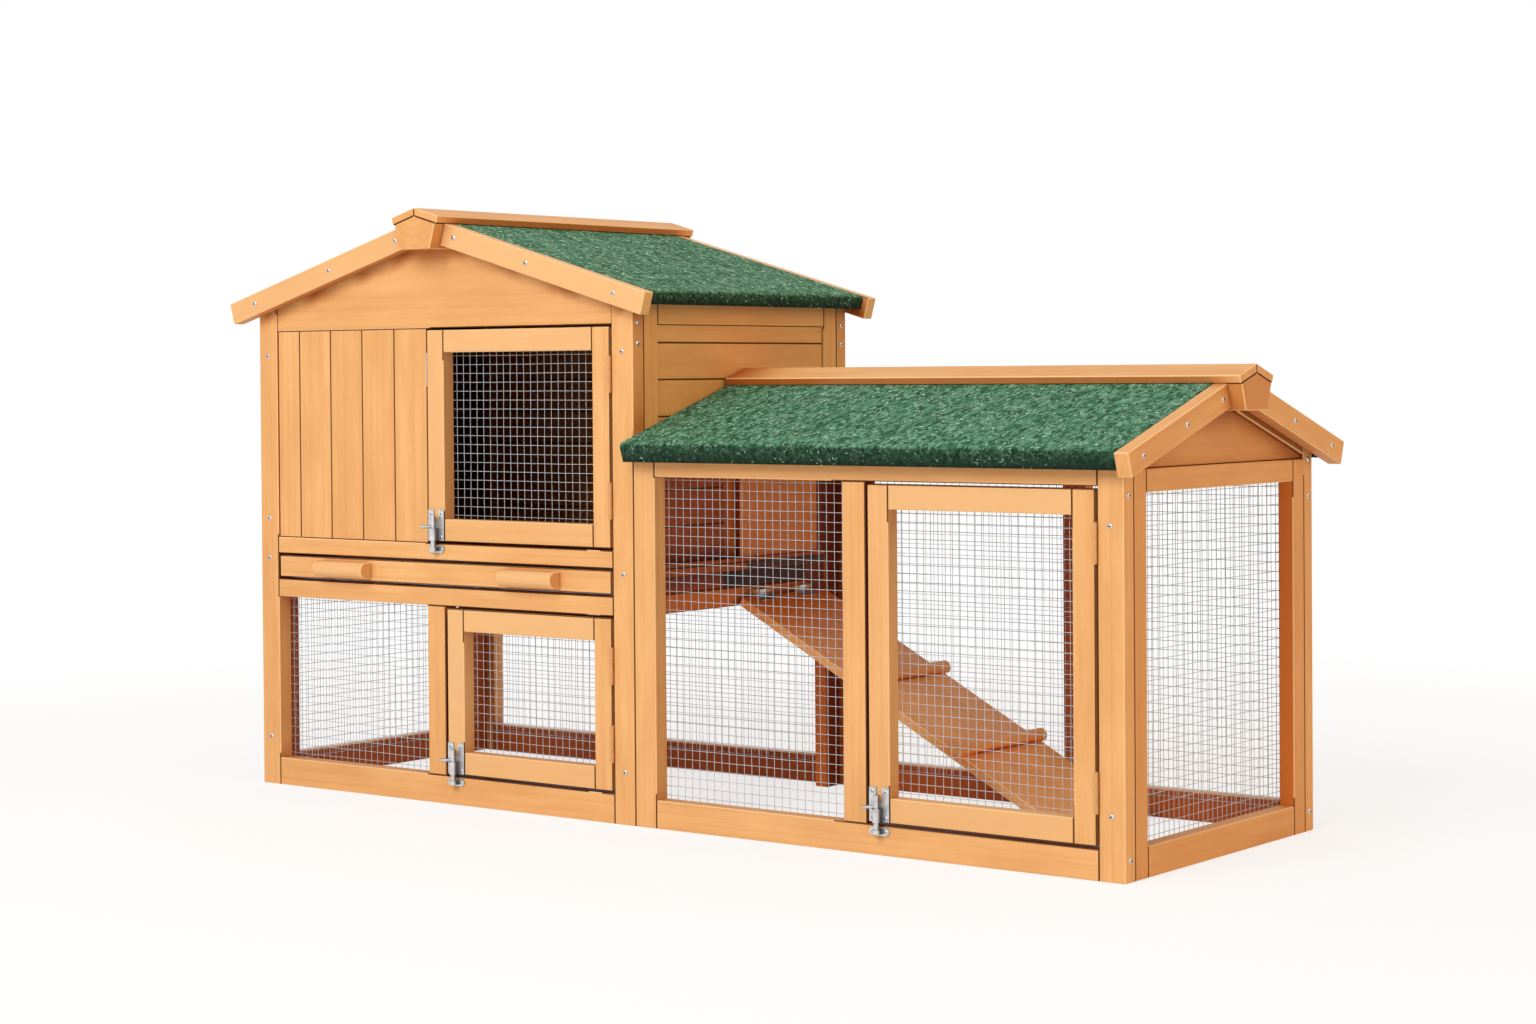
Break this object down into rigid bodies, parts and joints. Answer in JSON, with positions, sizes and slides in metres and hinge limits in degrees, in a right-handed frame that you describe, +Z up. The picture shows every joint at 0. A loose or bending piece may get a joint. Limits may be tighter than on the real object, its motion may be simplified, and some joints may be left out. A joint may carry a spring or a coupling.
{
  "type": "wooden pet hutch",
  "caption": "Two-tier wooden pet hutch: a gabled tower with a drawer joins a lower net run with a ramp; net doors with bolts, sliding hatch, felt roofs.",
  "frame": {"origin": "under the middle of the hutch's bounding box, on the ground", "axes": "+X from the tower towards the run, +Y to the back, +Z up"},
  "size_m": [1.4407, 0.526, 0.7745],
  "materials": {
    "wood": "honey-stained softwood",
    "felt": "green mineral felt",
    "steel": "zinc plated",
    "sheet": "galvanised sheet"
  },
  "bodies": {
    "frame": {"tower_front_frame": "wood", "tower_front_planks": "wood", "tower_front_gable": "wood", "tower_back_frame": "wood", "tower_back_gable": "wood", "tower_back_boards": "wood", "tower_left_frame": "wood", "tower_left_boards": "wood", "tower_right_frame": "wood", "tower_right_boards": "wood", "hatch_runners": "wood", "tower_floor": "wood", "tower_ridge_beam": "wood", "tower_roof_boards": "wood", "tower_ridge_cap": "wood", "tower_barge_boards": "wood", "run_front_frame": "wood", "run_back_frame": "wood", "run_end_frame": "wood", "run_end_gable": "wood", "run_rafters": "wood", "run_ridge_beam": "wood", "run_roof_boards": "wood", "run_ridge_cap": "wood", "run_barge_boards": "wood", "tower_felt": "felt", "run_felt": "felt", "tower_front_net": "steel", "tower_back_net": "steel", "tower_left_net": "steel", "run_front_net": "steel", "run_back_net": "steel", "run_end_net": "steel", "hinge_fixed_leaves": "steel", "bolt_keepers": "steel"},
    "upper_door": {"upper_door_frame": "wood", "upper_door_net": "steel", "upper_door_hinges": "steel", "upper_bolt_case": "steel"},
    "upper_bolt": {"upper_bolt": "steel"},
    "lower_door": {"lower_door_frame": "wood", "lower_door_net": "steel", "lower_door_hinges": "steel", "lower_bolt_case": "steel"},
    "lower_bolt": {"lower_bolt": "steel"},
    "run_door": {"run_door_frame": "wood", "run_door_net": "steel", "run_door_hinges": "steel", "run_bolt_case": "steel"},
    "run_bolt": {"run_bolt": "steel"},
    "tray": {"tray_front": "wood", "tray_pan": "sheet", "tray_handles": "wood"},
    "hatch": {"hatch": "wood"},
    "ramp": {"ramp_board": "wood", "ramp_cleats": "wood", "ramp_hinges": "steel"}
  },
  "joints": [
    {"name": "upper_door_swing", "type": "hinge", "parent": "frame", "child": "upper_door", "pos_m": [-0.051, -0.228, 0], "axis": [0, 0, 1], "range_deg": [0, 120]},
    {"name": "upper_bolt_slide", "type": "slide", "parent": "upper_door", "child": "upper_bolt", "axis": [0, 0, 1], "range_m": [0, 0.014]},
    {"name": "lower_door_swing", "type": "hinge", "parent": "frame", "child": "lower_door", "pos_m": [-0.051, -0.228, 0], "axis": [0, 0, 1], "range_deg": [0, 150]},
    {"name": "lower_bolt_slide", "type": "slide", "parent": "lower_door", "child": "lower_bolt", "axis": [0, 0, 1], "range_m": [0, 0.014]},
    {"name": "run_door_swing", "type": "hinge", "parent": "frame", "child": "run_door", "pos_m": [0.642, -0.228, 0], "axis": [0, 0, 1], "range_deg": [0, 165]},
    {"name": "run_bolt_slide", "type": "slide", "parent": "run_door", "child": "run_bolt", "axis": [0, 0, 1], "range_m": [0, 0.014]},
    {"name": "tray_slide", "type": "slide", "parent": "frame", "child": "tray", "axis": [0, -1, 0], "range_m": [0, 0.35]},
    {"name": "hatch_slide", "type": "slide", "parent": "frame", "child": "hatch", "axis": [0, -1, 0], "range_m": [0, 0.16]},
    {"name": "ramp_lift", "type": "hinge", "parent": "frame", "child": "ramp", "pos_m": [-0.0115, 0.071, 0.275], "axis": [0, -1, 0], "range_deg": [0, 44]}
  ]
}
